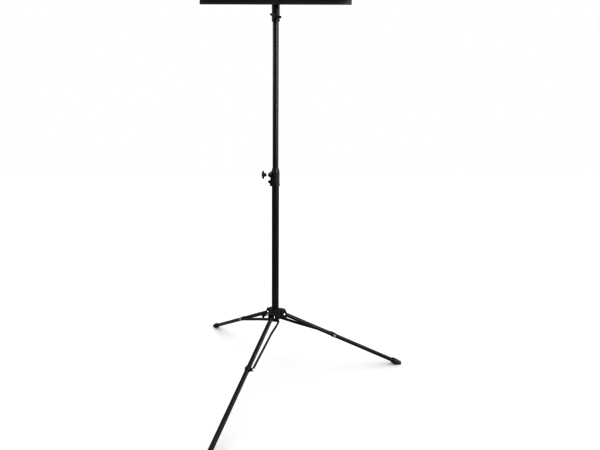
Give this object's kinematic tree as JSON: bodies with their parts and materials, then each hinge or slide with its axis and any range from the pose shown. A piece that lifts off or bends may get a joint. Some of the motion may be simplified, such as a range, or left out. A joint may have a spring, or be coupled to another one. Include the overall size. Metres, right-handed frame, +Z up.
{
  "type": "music stand",
  "caption": "Folding music stand: tripod base on a sliding crown, telescopic column with a side clamp knob, upright sheet desk with a ledge on a swivelling, tilting head.",
  "frame": {"origin": "on the floor, below the middle of the object's outline seen from above; the column axis stands at X -93 mm, Y +30 mm", "axes": "+Z up along the column; the desk's music side faces -Y; +X to the reader's right"},
  "size_m": [0.7973, 0.8636, 1.625],
  "materials": {
    "frame_paint": "satin black powder coat",
    "casting_paint": "satin black coat, slightly worn",
    "desk_paint": "fine textured black powder coat",
    "black_plastic": "satin black moulded",
    "liner_plastic": "dark grey low-friction plastic",
    "foot_rubber": "matt black rubber",
    "zinc": "zinc-plated",
    "black_rivet": "black",
    "chrome_screw": "bright",
    "brass_insert": "plain"
  },
  "bodies": {
    "column": {"lower_tube": "frame_paint", "tube_end_plug": "black_plastic", "strut_hub": "casting_paint", "strut_hub_rivets": "zinc", "clamp_sleeve": "black_plastic", "clamp_nut": "brass_insert", "clamp_liner": "liner_plastic"},
    "clamp_knob": {"clamp_knob": "black_plastic", "clamp_screw": "chrome_screw"},
    "crown": {"crown": "casting_paint", "crown_liner": "liner_plastic", "crown_rivets": "zinc", "crown_insert": "brass_insert"},
    "crown_screw": {"crown_screw_stud": "zinc", "crown_screw_wing": "black_plastic"},
    "upper_column": {"upper_tube": "frame_paint", "upper_guide": "liner_plastic"},
    "head": {"head_sleeve": "black_plastic", "tilt_tongue": "desk_paint", "friction_discs": "liner_plastic"},
    "head_screw": {"head_screw_stud": "zinc", "head_screw_wing": "black_plastic"},
    "desk": {"desk_plate": "desk_paint", "desk_ledge": "desk_paint", "ledge_rivets": "black_rivet", "tilt_bracket": "desk_paint", "bracket_rivets": "black_rivet", "tilt_washers": "zinc", "tilt_bolt": "zinc", "tilt_nut": "zinc"},
    "leg_right": {"leg_right_tube": "frame_paint", "leg_right_insert": "black_plastic", "leg_right_collar": "black_plastic", "leg_right_rivet": "zinc", "leg_right_foot": "foot_rubber"},
    "strut_right": {"strut_right_bar": "frame_paint", "strut_right_rivet": "zinc"},
    "leg_left": {"leg_left_tube": "frame_paint", "leg_left_insert": "black_plastic", "leg_left_collar": "black_plastic", "leg_left_rivet": "zinc", "leg_left_foot": "foot_rubber"},
    "strut_left": {"strut_left_bar": "frame_paint", "strut_left_rivet": "zinc"},
    "leg_front": {"leg_front_tube": "frame_paint", "leg_front_insert": "black_plastic", "leg_front_collar": "black_plastic", "leg_front_rivet": "zinc", "leg_front_foot": "foot_rubber"},
    "strut_front": {"strut_front_bar": "frame_paint", "strut_front_rivet": "zinc"}
  },
  "joints": [
    {"name": "base_fold", "type": "slide", "parent": "column", "child": "crown", "axis": [0, 0, 1], "range_m": [0, 0.4204]},
    {"name": "height_slide", "type": "slide", "parent": "column", "child": "upper_column", "axis": [0, 0, 1], "range_m": [-0.41, 0.05]},
    {"name": "desk_swivel", "type": "hinge", "parent": "upper_column", "child": "head", "pos_m": [-0.093, 0.03, 1.247], "axis": [0, 0, 1], "continuous": true},
    {"name": "desk_tilt", "type": "hinge", "parent": "head", "child": "desk", "pos_m": [-0.093, 0.03, 1.34], "axis": [-1, 0, 0], "range_deg": [-5, 80]},
    {"name": "clamp_knob_turn", "type": "hinge", "parent": "column", "child": "clamp_knob", "pos_m": [-0.133, 0.03, 0.738], "axis": [-1, 0, 0], "range_deg": [-180, 180]},
    {"name": "crown_screw_turn", "type": "hinge", "parent": "crown", "child": "crown_screw", "pos_m": [-0.13268, 0.02493, 0.2265], "axis": [-0.9919, -0.1267, 0], "range_deg": [-180, 180]},
    {"name": "head_screw_turn", "type": "hinge", "parent": "head", "child": "head_screw", "pos_m": [-0.093, 0.01, 1.253], "axis": [0, -1, 0], "range_deg": [-180, 180]},
    {"name": "leg_right_fold", "type": "hinge", "parent": "crown", "child": "leg_right", "pos_m": [-0.06126, 0.03406, 0.228], "axis": [-0.1267, 0.9919, 0], "range_deg": [0, 63.9]},
    {"name": "strut_right_fold", "type": "hinge", "parent": "column", "child": "strut_right", "pos_m": [-0.08209, 0.03139, 0.209], "axis": [0.1267, -0.9919, 0], "range_deg": [0, 104.2]},
    {"name": "leg_left_fold", "type": "hinge", "parent": "crown", "child": "leg_left", "pos_m": [-0.11221, 0.05559, 0.228], "axis": [-0.7997, -0.6004, 0], "range_deg": [0, 63.9]},
    {"name": "strut_left_fold", "type": "hinge", "parent": "column", "child": "strut_left", "pos_m": [-0.0996, 0.0388, 0.209], "axis": [0.7997, 0.6004, 0], "range_deg": [0, 104.2]},
    {"name": "leg_front_fold", "type": "hinge", "parent": "crown", "child": "leg_front", "pos_m": [-0.10494, 0.00031, 0.228], "axis": [0.9278, -0.373, 0], "range_deg": [0, 63.9]},
    {"name": "strut_front_fold", "type": "hinge", "parent": "column", "child": "strut_front", "pos_m": [-0.0971, 0.01979, 0.209], "axis": [-0.9278, 0.373, 0], "range_deg": [0, 104.2]}
  ],
  "couplings": [
    {"joint": "leg_right_fold", "follows": "base_fold", "rad_per_m": 2.6508},
    {"joint": "strut_right_fold", "follows": "base_fold", "rad_per_m": 4.3236},
    {"joint": "leg_left_fold", "follows": "base_fold", "rad_per_m": 2.6508},
    {"joint": "strut_left_fold", "follows": "base_fold", "rad_per_m": 4.3236},
    {"joint": "leg_front_fold", "follows": "base_fold", "rad_per_m": 2.6508},
    {"joint": "strut_front_fold", "follows": "base_fold", "rad_per_m": 4.3236}
  ]
}
